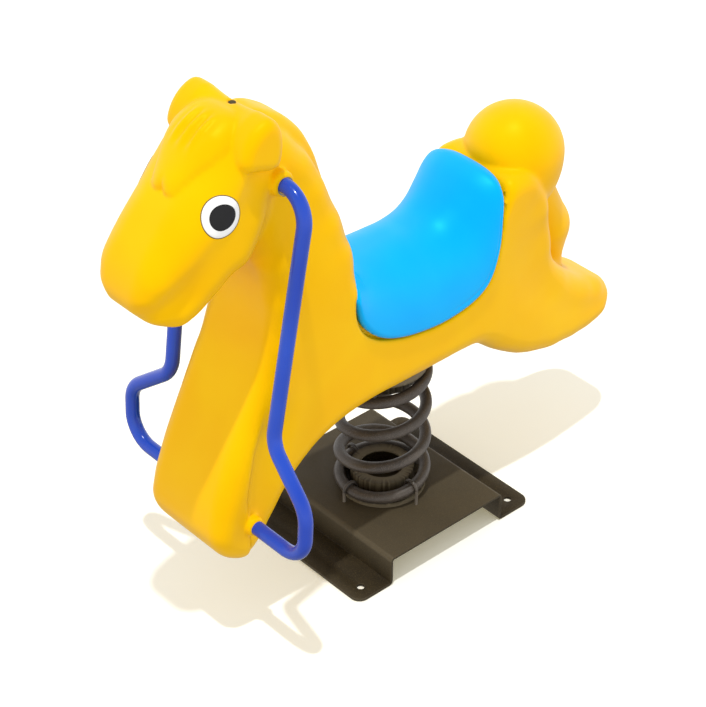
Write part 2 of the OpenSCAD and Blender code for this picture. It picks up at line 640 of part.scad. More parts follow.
// Sleeves through the body that take the tube ends, and the screws that lock them
function boss_end(at) = at == boss_top ? boss_top_y : boss_low_y;
function sleeve_end(at) = boss_end(at) - sleeve_inset;
function screw_y(at) = boss_end(at) - screw_inset;
module cross_sleeve(at) {
    color("#6d6a66") at_belly() difference() {
        across(at, -sleeve_end(at)) cylinder(r = sleeve_r, h = 2 * sleeve_end(at));
        across(at, -sleeve_end(at) - 1) cylinder(d = tube_d + 2 * slip, h = 2 * sleeve_end(at) + 2);
        for (side = [-1, 1]) translate([at[0], side * screw_y(at), at[1] - sleeve_r - 1])
            cylinder(d = set_screw_d + 2 * slip, h = sleeve_r);
    }
}
module upper_cross_sleeve() { cross_sleeve(boss_top); }
module lower_cross_sleeve() { cross_sleeve(boss_low); }
module handle_set_screws() {
    color("silver") at_belly() both_sides() for (at = [boss_top, boss_low])
        translate([at[0], screw_y(at), at[1] - sleeve_r - 4])
            cylinder(d = set_screw_d, h = sleeve_r + 4 - tube_d / 2 - slip / 3);
}

// Eyes: domed discs let into the head
module at_eye() { translate(eye_at) rotate([0, eye_tilt, eye_turn]) children(); }
module domed_disc(d, low, proud) {
    intersection() {
        translate([0, 0, low]) cylinder(d = d, h = proud - low + 1);
        translate([0, 0, eye_proud - eye_ball_r]) sphere(eye_ball_r + proud - eye_proud, $fn = 160);
    }
}
module eye_white() {
    color("white") at_eye() difference() {
        domed_disc(eye_d, -eye_depth, eye_proud);
        translate([0, 0, pupil_floor]) cylinder(d = pupil_d + 2 * slip, h = cut_over);
    }
}
module pupil() { color("#101010") at_eye() domed_disc(pupil_d, pupil_floor, eye_proud + pupil_proud); }
module left_eye_white() { at_belly() eye_white(); }
module right_eye_white() { at_belly() mirror([0, 1, 0]) eye_white(); }
module left_pupil() { at_belly() pupil(); }
module right_pupil() { at_belly() mirror([0, 1, 0]) pupil(); }

module vent_plug() {
    color("#202020") at_belly() translate([vent_at[0], 0, vent_at[1] - vent_l])
        cylinder(d = vent_d, h = vent_l + 1);
}

base_plate();
lower_spring_seat();
lower_spring_clamps();
lower_clamp_washers();
lower_clamp_nuts();
coil_spring();
upper_spring_seat();
upper_mount_plate();
upper_spring_clamps();
upper_clamp_washers();
upper_clamp_nuts();
body_bolts();
body_bolt_washers();
body_inserts();
horse_body();
saddle();
saddle_bolts();
saddle_bolt_washers();
saddle_inserts();
left_handle();
right_handle();
upper_cross_sleeve();
lower_cross_sleeve();
handle_set_screws();
left_eye_white();
left_pupil();
right_eye_white();
right_pupil();
vent_plug();
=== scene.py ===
import math

import bmesh
import bpy
import numpy as np
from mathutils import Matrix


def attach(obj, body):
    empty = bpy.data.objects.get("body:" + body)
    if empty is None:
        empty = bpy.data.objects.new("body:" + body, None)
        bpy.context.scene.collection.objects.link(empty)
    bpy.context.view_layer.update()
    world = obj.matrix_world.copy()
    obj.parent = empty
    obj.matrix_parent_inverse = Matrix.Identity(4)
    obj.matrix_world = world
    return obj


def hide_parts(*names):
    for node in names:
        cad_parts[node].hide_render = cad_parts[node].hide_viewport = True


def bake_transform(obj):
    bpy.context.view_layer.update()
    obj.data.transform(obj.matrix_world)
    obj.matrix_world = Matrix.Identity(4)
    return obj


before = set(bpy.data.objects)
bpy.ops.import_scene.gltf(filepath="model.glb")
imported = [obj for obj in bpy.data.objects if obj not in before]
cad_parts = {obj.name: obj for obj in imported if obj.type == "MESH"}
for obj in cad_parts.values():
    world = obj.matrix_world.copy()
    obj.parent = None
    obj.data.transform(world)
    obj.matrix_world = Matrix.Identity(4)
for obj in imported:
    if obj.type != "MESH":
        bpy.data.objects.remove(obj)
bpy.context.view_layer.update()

scene = bpy.context.scene
# Metres in a millimetre, and the height of the horse's belly in millimetres
MM = 0.001
BELLY = 345.0

# Camera at the photograph's viewing angle
CAMERA_AT = (2.17541, 2.36191, 2.65375)
CAMERA_TILT, CAMERA_TURN = 54.31, 138.3
lens = bpy.data.cameras.new("photo_camera")
lens.lens = 114.06
lens.sensor_width = 36.0
lens.clip_end = 60.0
camera = bpy.data.objects.new("photo_camera", lens)
camera.location = CAMERA_AT
camera.rotation_euler = (math.radians(CAMERA_TILT), 0.0, math.radians(CAMERA_TURN))
scene.collection.objects.link(camera)
scene.camera = camera

# Materials
NONE, FULL = (0, 0, 0, 1), (1, 1, 1, 1)


def linear(rgb):
    """Linear, opaque colour from a screen colour in steps of 0 to 255."""
    parts = (v / 255 for v in rgb)
    return tuple(c / 12.92 if c <= 0.04045 else ((c + 0.055) / 1.055) ** 2.4 for c in parts) + (1.0,)


def material(name, dark, light, rough, patch=6.0, grain=500.0, bump=0.1, wave=0.0, metallic=0.0, coat=0.0,
             fleck=None, sharp_edge_colour=None, tint=None, specular=0.5):
    """Procedural finish on object coordinates: colour and roughness patches, fine grain and slow wave."""
    m = bpy.data.materials.new(name)
    m.use_nodes = True
    nt = m.node_tree
    shader = nt.nodes["Principled BSDF"]
    shader.inputs["Metallic"].default_value = metallic
    shader.inputs["Coat Weight"].default_value = coat
    shader.inputs["Coat Roughness"].default_value = 0.06
    shader.inputs["Specular IOR Level"].default_value = specular
    if tint:
        shader.inputs["Specular Tint"].default_value = linear(tint)
    place = nt.nodes.new("ShaderNodeTexCoord").outputs["Object"]

    def noise(scale, detail, distort=0.0):
        n = nt.nodes.new("ShaderNodeTexNoise")
        n.inputs["Scale"].default_value = scale
        n.inputs["Detail"].default_value = detail
        n.inputs["Distortion"].default_value = distort
        nt.links.new(place, n.inputs["Vector"])
        return n.outputs["Fac"]

    def ramp(value, low, high):
        r = nt.nodes.new("ShaderNodeValToRGB")
        r.color_ramp.elements[0].position, r.color_ramp.elements[0].color = low
        r.color_ramp.elements[1].position, r.color_ramp.elements[1].color = high
        nt.links.new(value, r.inputs["Fac"])
        return r.outputs["Color"]

    def mix(fac, below, above):
        x = nt.nodes.new("ShaderNodeMix")
        x.data_type = "RGBA"
        nt.links.new(fac, x.inputs[0])
        nt.links.new(below, x.inputs[6])
        x.inputs[7].default_value = above
        return x.outputs[2]

    def raised(scale, strength, distance, under=None):
        b = nt.nodes.new("ShaderNodeBump")
        b.inputs["Strength"].default_value = strength
        b.inputs["Distance"].default_value = distance
        nt.links.new(noise(scale, 3.0), b.inputs["Height"])
        if under:
            nt.links.new(under, b.inputs["Normal"])
        return b.outputs["Normal"]

    colour = ramp(noise(patch, 3.0, 0.3), (0.32, linear(dark)), (0.68, linear(light)))
    if fleck:
        spots = ramp(noise(fleck[1], 2.0), (0.54, NONE), (0.68, FULL))
        colour = mix(spots, colour, linear(fleck[0]))
    # Sharp convex edges, found by pointiness, take a paler colour
    if sharp_edge_colour:
        point = nt.nodes.new("ShaderNodeNewGeometry").outputs["Pointiness"]
        colour = mix(ramp(point, (0.52, NONE), (0.60, FULL)), colour, linear(sharp_edge_colour))
    nt.links.new(colour, shader.inputs["Base Color"])
    spread = nt.nodes.new("ShaderNodeMapRange")
    spread.inputs["From Min"].default_value = 0.3
    spread.inputs["From Max"].default_value = 0.7
    spread.inputs["To Min"].default_value = rough[0]
    spread.inputs["To Max"].default_value = rough[1]
    nt.links.new(noise(30.0, 4.0), spread.inputs["Value"])
    nt.links.new(spread.outputs["Result"], shader.inputs["Roughness"])
    normal = raised(40.0, wave, 0.004) if wave else None
    nt.links.new(raised(grain, bump, 0.0005, normal), shader.inputs["Normal"])
    return m


YELLOW = material("moulded_yellow", (252, 189, 2), (255, 199, 4), (0.36, 0.44), grain=420, bump=0.07,
                  wave=0.03, tint=(255, 225, 60), specular=0.3)
BLUE = material("moulded_sky_blue", (3, 170, 252), (6, 181, 255), (0.40, 0.46), grain=420, bump=0.05,
                wave=0.02, tint=(60, 235, 255), specular=0.8)
TUBE = material("blue_gloss_coat", (20, 62, 178), (28, 76, 196), (0.16, 0.24), grain=700, bump=0.04,
                coat=0.3, specular=0.3)
COAT = material("dark_powder_coat", (32, 25, 12), (44, 35, 18), (0.46, 0.62), patch=16, grain=1100, bump=0.5,
                fleck=((66, 55, 32), 620.0), sharp_edge_colour=(112, 102, 82), specular=0.12)
SPRING = material("spring_powder_coat", (54, 47, 40), (78, 70, 61), (0.36, 0.54), patch=18, grain=1000,
                  bump=0.5, fleck=((98, 88, 78), 700.0))
CLAMP = material("clamp_powder_coat", (48, 42, 36), (78, 70, 60), (0.34, 0.5), patch=50, grain=1200, bump=0.3,
                 sharp_edge_colour=(150, 140, 126))
ZINC = material("zinc_plated_steel", (120, 116, 106), (168, 164, 152), (0.28, 0.46), patch=60, grain=1500,
                bump=0.15, metallic=0.9)
BRASS = material("brass", (150, 112, 52), (186, 146, 76), (0.25, 0.4), patch=40, metallic=1.0)
WHITE = material("eye_white_gloss", (246, 246, 242), (255, 255, 253), (0.16, 0.24), grain=600, bump=0.03)
BLACK = material("eye_black_gloss", (12, 12, 14), (20, 20, 22), (0.34, 0.44), grain=600, bump=0.05,
                 specular=0.3)
OLIVE = material("eye_edge_paint", (96, 74, 20), (118, 92, 26), (0.4, 0.5), grain=600, bump=0.03)
RUBBER = material("vent_rubber", (60, 50, 12), (84, 70, 18), (0.6, 0.75), grain=900, bump=0.3)


def add_mesh(name, verts, faces, mat, body, nodes, slot):
    """New piece from points in millimetres; it rides on a body and may stand for CAD nodes."""
    me = bpy.data.meshes.new(name)
    faces = faces.tolist() if isinstance(faces, np.ndarray) else faces
    me.from_pydata(np.asarray(verts, float) * MM, [], faces)
    me.update()
    me.shade_smooth()
    me.materials.append(mat)
    o = bpy.data.objects.new(name, me)
    scene.collection.objects.link(o)
    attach(o, body)
    if nodes:
        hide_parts(*nodes)


# All shapes of the horse and the saddle are in millimetres, with heights over the belly
# Trunk: front or underside x, z, then back or top x, z, width share, edge radius front and back
TRUNK = [
    (370, 612, 300, 600, .60, 60, 48), (388, 570, 268, 588, .68, 66, 44), (385, 515, 234, 548, .70, 62, 40),
    (360, 455, 203, 505, .73, 56, 36), (337, 395, 178, 445, .80, 48, 36), (318, 325, 153, 370, .89, 42, 36),
    (316, 255, 141, 308, .95, 38, 28), (334, 185, 138, 272, .98, 36, 28), (362, 122, 120, 262, 1, 36, 44),
    (400, 47, 94, 258, 1, 38, 48), (433, -25, 80, 256, 1, 38, 48), (453, -88, 69, 254, .99, 34, 48),
    (456, -126, 60, 252, .99, 30, 48), (441, -161, 52, 251, .98, 30, 48), (410, -189, 45, 250, .98, 34, 44),
    (376, -197, 38, 249, .98, 40, 40), (350, -178, 30, 248, .98, 40, 40), (322, -133, 22, 247, .98, 40, 40),
    (292, -86, 14, 246, .98, 40, 40), (242, -41, 6, 246, .99, 40, 40), (184, -14, -4, 246, 1, 40, 40),
    (110, -3, -16, 247, 1, 40, 40), (30, -3, -32, 248, 1, 40, 40), (-60, -3, -62, 250, 1, 40, 40),
    (-110, -3, -88, 256, 1, 40, 48), (-150, -8, -112, 270, 1, 40, 60), (-200, -45, -142, 291, .99, 40, 60),
    (-231, -66, -170, 304, .985, 40, 56), (-262, -84, -212, 309, .98, 40, 28),
    (-330, -107, -268, 305, .96, 40, 28), (-390, -116, -312, 250, .92, 40, 28),
    (-435, -119, -333, 160, .88, 40, 28), (-468, -116, -354, 84, .86, 40, 32),
    (-502, -106, -434, 6, .85, 40, 40), (-524, -84, -491, -27, .80, 38, 38),
    (-531, -68, -522, -47, .62, 32, 32)]
# Top of the head x, z, then cheek and jaw x, z, width share, edge radius top and below
HEAD = [
    (290, 590, 280, 550, .66, 48, 30), (345, 620, 300, 500, .84, 62, 32), (395, 594, 322, 440, .92, 70, 38),
    (432, 554, 352, 392, .95, 72, 44), (472, 511, 395, 364, .90, 68, 48), (510, 470, 437, 330, .85, 60, 48),
    (544, 424, 480, 311, .81, 53, 46), (556, 386, 520, 326, .72, 44, 40), (553, 362, 542, 347, .52, 32, 30)]
# Mane crest x, z, foot x, z, half width and edge radius
MANE = [
    (300, 614, 345, 570, 40, 22), (253, 596, 300, 535, 40, 22), (210, 555, 268, 495, 38, 20),
    (180, 504, 236, 450, 36, 20), (158, 442, 212, 390, 33, 18), (137, 375, 188, 335, 29, 16),
    (126, 322, 168, 298, 24, 14)]
# Side outline of the crown bar and its ears, x and z, with the dip in its middle and the rounding of its ends
EAR = [(319, 636), (346, 627), (368, 604), (377, 576), (368, 560), (348, 554), (322, 546), (304, 550),
       (296, 570), (295, 600), (303, 624)]
EAR_DIP, EAR_DIP_HALF = 7, 60
EAR_HALF, EAR_ROUND = 83, 18
# Forelock: where it starts, its way down the forehead, then half width and thickness by distance down
LOCK_AT, LOCK_WAY = (345, 620), (.747, -.665)
LOCK_HALF = [(-10, 54), (20, 60), (37, 63), (50, 63), (74, 57), (94, 48), (112, 40), (127, 35), (140, 31),
             (148, 30), (158, 29)]
LOCK_THICK = [(-48, 0), (-24, 9), (0, 13), (40, 19), (100, 19), (140, 16)]
# Its two tips: how far down, notch between them, their middle and rounding, then its strands
LOCK_END, TIP_NOTCH, TIP_MIDDLE, TIP_ROUND = 151, 7, 15, 24
STRAND_DEEP, STRAND_WIDE, STRAND_SIDE = 3.2, 21, 36
# Groove behind the front rail of the leg, z and x, with its depth
LEG_GROOVE = [(-150, 393), (-126, 395), (-56, 398), (-15, 391), (32, 380), (68, 366), (117, 351)]
GROOVE_DEEP = 8.0
# Dimple round the vent plug: x, floor and radius
VENT_X, VENT_FLOOR, VENT_R = 318.0, 624.0, 7.8
# Ball on the rump: x, z, radius and reach below
BALL_AT, BALL_R, BALL_LOW = (-308, 297), 90, 128
# Tail: x, y, z and radius
TAIL = [(-350, 0, 205, 46), (-391, 0, 112, 50), (-402, 0, 25, 34)]
# Balls round the ends of the handles: place, radius and flat face
BOSSES = [((294, 82, 511), 22, 92), ((384, 103, -114), 18, 111)]
# Half length and height of the flat on the mount plate
FLAT_HALF, FLAT_Z = 148.0, 0.3
# Half width of the horse where the width share is 1
HALF_W = 102.0


def smooth_loop(points, n):
    """Closed centripetal Catmull-Rom curve through the points, with n places from each to the next."""
    p = np.asarray(points, float)
    out = []
    for i in range(len(p)):
        a, b, c, d = (p[(i + j) % len(p)] for j in (-1, 0, 1, 2))
        t0 = 0.0
        t1 = t0 + max(np.linalg.norm(b - a), 1e-6) ** 0.5
        t2 = t1 + max(np.linalg.norm(c - b), 1e-6) ** 0.5
        t3 = t2 + max(np.linalg.norm(d - c), 1e-6) ** 0.5
        for t in np.linspace(t1, t2, n, endpoint=False):
            q1 = a * (t1 - t) / (t1 - t0) + b * (t - t0) / (t1 - t0)
            q2 = b * (t2 - t) / (t2 - t1) + c * (t - t1) / (t2 - t1)
            q3 = c * (t3 - t) / (t3 - t2) + d * (t - t2) / (t3 - t2)
            r1 = q1 * (t2 - t) / (t2 - t0) + q2 * (t - t0) / (t2 - t0)
            r2 = q2 * (t3 - t) / (t3 - t1) + q3 * (t - t1) / (t3 - t1)
            out.append(r1 * (t2 - t) / (t2 - t1) + r2 * (t - t1) / (t2 - t1))
    return np.array(out)


def flat_distance(px, pz, loop):
    """Signed distance to a closed outline in the XZ plane, negative inside."""
    best = np.full(px.shape, 1e12)
    inside = np.zeros(px.shape, bool)
    for a, b in zip(loop, np.roll(loop, -1, axis=0)):
        e = b - a
        t = np.clip(((px - a[0]) * e[0] + (pz - a[1]) * e[1]) / max(e @ e, 1e-9), 0, 1)
        best = np.minimum(best, (px - a[0] - t * e[0]) ** 2 + (pz - a[1] - t * e[1]) ** 2)
        if a[1] != b[1]:
            cross = (a[1] > pz) != (b[1] > pz)
            inside ^= cross & (px < a[0] + (pz - a[1]) * e[0] / e[1])
    return np.where(inside, -np.sqrt(best), np.sqrt(best))


def spread_field(px, pz, points, values):
    """Smooth field in the XZ plane from values at points."""
    total = np.zeros(px.shape)
    weight = np.zeros(px.shape)
    for (x, z), v in zip(points, values):
        w = 1.0 / ((px - x) ** 2 + (pz - z) ** 2 + 400.0) ** 2
        total += w * v
        weight += w
    return total / weight


def smin(a, b, k):
    """Smaller of two fields, with the join rounded over k."""
    h = np.maximum(k - np.abs(a - b), 0) / k
    return np.minimum(a, b) - h * h * k * 0.25


def smax(a, b, k):
    """Larger of two fields, with the join rounded over k."""
    return -smin(-a, -b, k)


def ease(t):
    """Soft step from 0 to 1."""
    t = np.clip(t, 0, 1)
    return t * t * (3 - 2 * t)


def by_distance(at, table):
    """Value at a distance, from pairs of distance and value."""
    return np.interp(at, *zip(*table))


# Grid for the moulded body, closer round the saddle and the head
def places(*runs):
    return np.unique(np.round(np.concatenate([np.arange(a, b, step) for a, b, step in runs]), 3))


gx = places((-560, -250, 6.0), (-246, 90, 4.6), (93, 166, 3.1), (169.5, 250, 6.0), (253, 576, 3.5))
gy = places((-123.6, -36, 4.6), (-32.4, 33, 3.6), (37.0, 126, 4.6))
gz = places((133, 430, 6.0), (434.5, 500, 4.6), (503, 630, 3.2), (633.5, 1002, 3.5))
GRID = (gx, gy, gz)
CORNERS = [(a, b, c) for a in (0, 1) for b in (0, 1) for c in (0, 1)]
fx, fz = np.meshgrid(gx, gz - BELLY, indexing="ij")


def part(low, high):
    """Part of the grid between two corners, as slices, and the x, y and z of its points."""
    cut = tuple(slice(*np.searchsorted(g, (a, b))) for g, a, b in zip(GRID, low, high))
    return cut, np.meshgrid(*(g[c] for g, c in zip(GRID, cut)), indexing="ij")


def slab(d, w, r):
    """Rounded thickness about the middle plane for a flat distance field."""
    r = np.minimum(r, w * 0.97)
    qx = (d + r)[:, None, :]
    qy = np.abs(gy)[None, :, None] - (w - r)[:, None, :]
    outer = np.hypot(np.maximum(qx, 0), np.maximum(qy, 0))
    return np.minimum(np.maximum(qx, qy), 0) + outer - r[:, None, :]


def rows_slab(rows, narrower=0.0):
    """Rounded slab between two lines of points."""
    a = [(r[0], r[1]) for r in rows]
    b = [(r[2], r[3]) for r in rows]
    d = flat_distance(fx, fz, smooth_loop(a + b[::-1], 10))
    w = spread_field(fx, fz, a + b, [r[4] * HALF_W for r in rows] * 2)
    radii = [r[5] for r in rows] + [r[6 if len(r) > 6 else 5] for r in rows]
    return slab(d, w - narrower, spread_field(fx, fz, a + b, radii))


# Saddle: rows from the neck to the back, top x, z, rim x, z and width share
SADDLE = [
    (140, 272, 152, 229, 1), (101, 257, 138, 179, 1), (62, 252, 104, 140, 1), (25, 250, 60, 117, 1),
    (-12, 250, 5, 104, 1), (-48, 250, -55, 100, 1), (-83, 257, -118, 110, 1), (-111, 274, -157, 136, 1),
    (-138, 296, -177, 190, 1), (-163, 316, -186, 247, .957), (-187, 326, -192, 278, .885),
    (-207, 321, -199, 292, .71)]
# Its half width, thickness, the power of its arch, and the rounding of its edges
SADDLE_W, SADDLE_T, SADDLE_POWER = 106.5, 16.0, 2.45
LIP = 10.0
# Distances from its edges at which its faces are split, the step between, and the length of a usual arch
EDGE = (0, .6, 1.6, 3.0, 4.8, 7.0, 9.6, 12.5, 14.5, 16.0, 17.5, 19.0, 21.0, 24.0)
FRONT = tuple(EDGE[:7]) + tuple(np.arange(11.0, 42.0, 1.5))
SADDLE_STEP, ARCH_LENGTH = 6.0, 430.0
# Depth and width of the fold in its front corners and of the bead along the back of its rim
FOLD_DEEP, FOLD_WIDE = 1.6, 1.7
BEAD_DEEP, BEAD_WIDE = 0.9, 2.4


def open_curve(points, t):
    """Catmull-Rom curve through rows of values, at row numbers t."""
    p = np.asarray(points, float)
    p = np.vstack([2 * p[0] - p[1], p, 2 * p[-1] - p[-2]])
    i = np.clip(t.astype(int), 0, len(points) - 2)
    f = (t - i)[:, None]
    a, b, c, d = p[i], p[i + 1], p[i + 2], p[i + 3]
    square, cube = 2 * a - 5 * b + 4 * c - d, 3 * b - a - 3 * c + d
    return 0.5 * (2 * b + (c - a) * f + square * f ** 2 + cube * f ** 3)


def graded(length, first, last, step):
    """Places along a length, close together near both ends."""
    n = max(3, int((length - first[-1] - last[-1]) / step))
    mid = np.linspace(first[-1], length - last[-1], n + 1)
    return np.concatenate([first[:-1], mid, length - np.array(last[:-1])[::-1]])


def run_along(points):
    """Length along a line of points, at each of them."""
    return np.concatenate([[0], np.cumsum(np.linalg.norm(np.diff(points, axis=0), axis=1))])


saddle_rows = open_curve(SADDLE, np.linspace(0, len(SADDLE) - 1, 400))


def saddle_grid():
    """Outer face of the saddle: sections that arch from rim to rim, one for each place along it."""
    along = run_along(0.5 * (saddle_rows[:, 0:2] + saddle_rows[:, 2:4]))
    at = graded(along[-1], FRONT, EDGE, SADDLE_STEP)
    rows = np.array([np.interp(at, along, saddle_rows[:, i]) for i in range(5)]).T
    angle = np.linspace(0, math.pi, 1201)
    side = np.sign(np.cos(angle)) * np.abs(np.cos(angle)) ** (2 / SADDLE_POWER)
    rise = np.abs(np.sin(angle)) ** (2 / SADDLE_POWER)
    edge = np.array(EDGE)
    inner = len(graded(ARCH_LENGTH, EDGE, EDGE, SADDLE_STEP)) - 2 * len(edge) + 2
    grid = []
    for row in rows:
        line = np.stack([row[2] + (row[0] - row[2]) * rise, SADDLE_W * row[4] * side,
                         row[3] + (row[1] - row[3]) * rise + BELLY], axis=1)
        run = run_along(line)
        t = np.concatenate([edge[:-1], np.linspace(edge[-1], run[-1] - edge[-1], inner),
                            run[-1] - edge[:-1][::-1]])
        grid.append(np.stack([np.interp(t, run, line[:, i]) for i in range(3)], axis=1))
    return np.array(grid)


def grid_normals(p):
    """Normals of a grid of points, upward in its middle."""
    n = np.cross(np.gradient(p, axis=1), np.gradient(p, axis=0))
    n /= np.maximum(np.linalg.norm(n, axis=2, keepdims=True), 1e-9)
    return -n if n[len(p) // 2, p.shape[1] // 2][2] < 0 else n


def grid_shell(top, bottom):
    """Closed shell of quads between two grids of points, turned outward."""
    r, c = top.shape[:2]
    number = np.arange(r * c).reshape(r, c)
    a = np.stack([number[:-1, :-1], number[:-1, 1:], number[1:, 1:], number[1:, :-1]], axis=2).reshape(-1, 4)
    ring = np.concatenate([number[0, :], number[1:, -1], number[-1, -2::-1], number[-2:0:-1, 0]])
    nxt = np.roll(ring, -1)
    side = np.stack([nxt, ring, ring + r * c, nxt + r * c], axis=1)
    faces = np.concatenate([a, a[:, ::-1] + r * c, side])
    points = np.concatenate([top.reshape(-1, 3), bottom.reshape(-1, 3)])
    v = points[faces]
    volume = np.einsum("ij,ij->", v[:, 0], np.cross(v[:, 1], v[:, 2]) + np.cross(v[:, 2], v[:, 3]))
    return points, faces if volume > 0 else faces[:, ::-1]


def edge_drop(u, r):
    """Drop of a rounded edge at a distance from it."""
    u = np.clip(u, 0, r)
    return r - np.sqrt(np.maximum(r * r - (r - u) ** 2, 0))


def fade(value, low, high, soft):
    """One between two bounds, falling to nothing over a soft distance."""
    return np.clip((value - low) / soft, 0, 1) * np.clip((high - value) / soft, 0, 1)


seat = saddle_grid()
seat_n = grid_normals(seat)
rows_n, cols_n = seat.shape[:2]
step_s = np.linalg.norm(np.diff(seat, axis=0), axis=2)
step_t = np.linalg.norm(np.diff(seat, axis=1), axis=2)
from_front = np.vstack([np.zeros((1, cols_n)), np.cumsum(step_s, axis=0)])
from_back = from_front[-1:] - from_front
from_left = np.hstack([np.zeros((rows_n, 1)), np.cumsum(step_t, axis=1)])
from_right = from_left[:, -1:] - from_left
from_rim = np.minimum(from_left, from_right)
row_at = np.linspace(0, 1, rows_n)[:, None]
fold_line = from_front - 34 + 0.33 * (from_rim - 66)
fold = FOLD_DEEP * np.exp(-(fold_line / FOLD_WIDE) ** 2) * fade(from_rim, 60, 165, 14)
bead = BEAD_DEEP * np.exp(-((from_rim - 17) / BEAD_WIDE) ** 2) * fade(row_at, .55, .97, .08)
lip = np.minimum(sum(edge_drop(u, LIP) for u in (from_front, from_back, from_left, from_right)), LIP)
seat_top = seat - seat_n * (lip + fold + bead)[..., None]
add_mesh("saddle_seat", *grid_shell(seat_top, seat - seat_n * SADDLE_T), BLUE, "rider", ["saddle"],
         "sky_blue_plastic")

# Recess for the saddle: gap round the rim, wider at the low front corner and closed at the high one
GAP = 3.2
WIDE_GAP, WIDE_AT, WIDE_REACH = 4.0, (118, 158), 45
CLOSE_GAP, CLOSE_AT, CLOSE_REACH = 5.0, (150, 234), 18
# Room under the saddle, spare rows past its ends, the rows at the back over which the recess is closed on top,
# and how far it is open there before them
ROOM = 3
SPARE = 10
BACK_FROM, BACK_OVER = 270, 30
FAR = 400


def near(at, reach):
    """One at a place in the XZ plane, falling off with distance."""
    return np.exp(-((fx - at[0]) ** 2 + (fz - at[1]) ** 2) / reach ** 2)


def row_places(rim, top):
    """Row number and share of the height from rim to top, for each point of the XZ grid between the rows."""
    row_s, row_h = np.full(fx.shape, np.nan), np.zeros(fx.shape)
    before = None
    for i, (r, t) in enumerate(zip(rim, top)):
        e = t - r
        aside = e[0] * (fz - r[1]) - e[1] * (fx - r[0])
        up = (e[0] * (fx - r[0]) + e[1] * (fz - r[1])) / (e @ e)
        if before is not None:
            between = (before[0] <= 0) != (aside <= 0)
            f = before[0] / np.where(between, before[0] - aside, 1)
            h = before[1] + f * (up - before[1])
            take = between & (h > -0.4) & (h < 5) & np.isnan(row_s)
            row_s[take] = (i - 1 + f)[take]
            row_h[take] = h[take]
        before = (aside, up)
    return row_s, row_h


def saddle_recess():
    """Field of the recess that takes the saddle, negative where the body is cut away."""
    spare = np.arange(1, SPARE + 1)[:, None]
    rows = np.vstack([(saddle_rows[0] + spare * (saddle_rows[0] - saddle_rows[1]))[::-1], saddle_rows,
                      saddle_rows[-1] + spare * (saddle_rows[-1] - saddle_rows[-2])])
    rim, top = rows[:, 2:4], rows[:, 0:2]
    row_s, row_h = row_places(rim, top)
    number = np.arange(len(rim))
    s = np.nan_to_num(row_s, nan=0.0)
    wide = SADDLE_W * np.interp(s, number, rows[:, 4])[:, None, :]
    tall = np.interp(s, number, np.linalg.norm(top - rim, axis=1))[:, None, :]
    h = np.maximum(row_h, 0)[:, None, :]
    across = np.abs(gy)[None, :, None] / wide
    power = SADDLE_POWER
    size = np.maximum(across ** power + h ** power, 1e-9)
    steep = size ** (1 / power - 1) * np.hypot(across ** (power - 1) / wide, h ** (power - 1) / tall)
    outside = (size ** (1 / power) - 1) / np.maximum(steep, 1e-4)
    outside = np.where(np.isnan(row_s)[:, None, :], 0.0, outside)
    rim, top = saddle_rows[:, 2:4], saddle_rows[:, 0:2]
    ends = [top[i] + 80 * (top[i] - rim[i]) / np.linalg.norm(top[i] - rim[i]) for i in (0, -1)]
    loop = np.concatenate([[ends[0]], rim[::4], rim[-1:], [ends[1]]])
    gap = GAP + WIDE_GAP * near(WIDE_AT, WIDE_REACH) - CLOSE_GAP * near(CLOSE_AT, CLOSE_REACH)
    walls = flat_distance(fx, fz, loop) - gap
    back = ease((s - BACK_FROM) / BACK_OVER)[:, None, :]
    above = outside - gap[:, None, :] - FAR * (1 - back)
    return np.maximum(np.maximum(walls[:, None, :], -(outside + SADDLE_T + ROOM)), above)


def ears(field):
    """Joins the crown, a rounded bar across the head that ends in an ear on each side."""
    cut, (x, y, z) = part((255, -125, 850), (400, 125, 1000))
    dip = EAR_DIP * np.maximum(1 - (y / EAR_DIP_HALF) ** 2, 0)
    round_d = flat_distance(x, z - BELLY + dip, smooth_loop(EAR, 8)) + EAR_ROUND
    round_y = np.abs(y) - EAR_HALF
    outer = np.hypot(np.maximum(round_d, 0), np.maximum(round_y, 0))
    own = np.minimum(np.maximum(round_d, round_y), 0) + outer - EAR_ROUND
    field[cut] = smin(field[cut], own, 5.0)
    return field


def forelock(field, head):
    """Joins the grooved lock on the forehead, which thickens towards its two tips."""
    cut, (x, y, z) = part((290, -110, 830), (500, 110, 1000))
    down = (x - LOCK_AT[0]) * LOCK_WAY[0] + (z - BELLY - LOCK_AT[1]) * LOCK_WAY[1]
    half = by_distance(down, LOCK_HALF)
    end = LOCK_END - TIP_NOTCH * ((np.abs(y) - TIP_MIDDLE) / TIP_MIDDLE) ** 2
    inside = np.minimum(half - np.abs(y), end - down)
    dome = np.sqrt(np.clip(1 - (y / half) ** 2, 0, 1))
    tip = np.clip((end - down) / TIP_ROUND, 0, 1)
    thick = by_distance(down, LOCK_THICK) * dome * np.sqrt(tip * (2 - tip))
    strand = np.cos(2 * math.pi * y / (STRAND_WIDE * (0.9 + 0.002 * down)))
    strand = strand * ease((STRAND_SIDE - np.abs(y)) / 14)
    thick += STRAND_DEEP * ease((down - 2) / 26) * ease((92 - down) / 40) * strand
    own = np.where(inside > 0, head[cut] - thick, 50.0)
    field[cut] = smin(field[cut], own, 3.0)
    return field


def leg_groove():
    """Depth of the sides behind the front rail of the leg, which fades out upwards and to the back."""
    behind = by_distance(fz, LEG_GROOVE) - fx
    return GROOVE_DEEP * ease(behind / 12) * (1 - ease((behind - 20) / 75)) * ease((130 - fz) / 90)


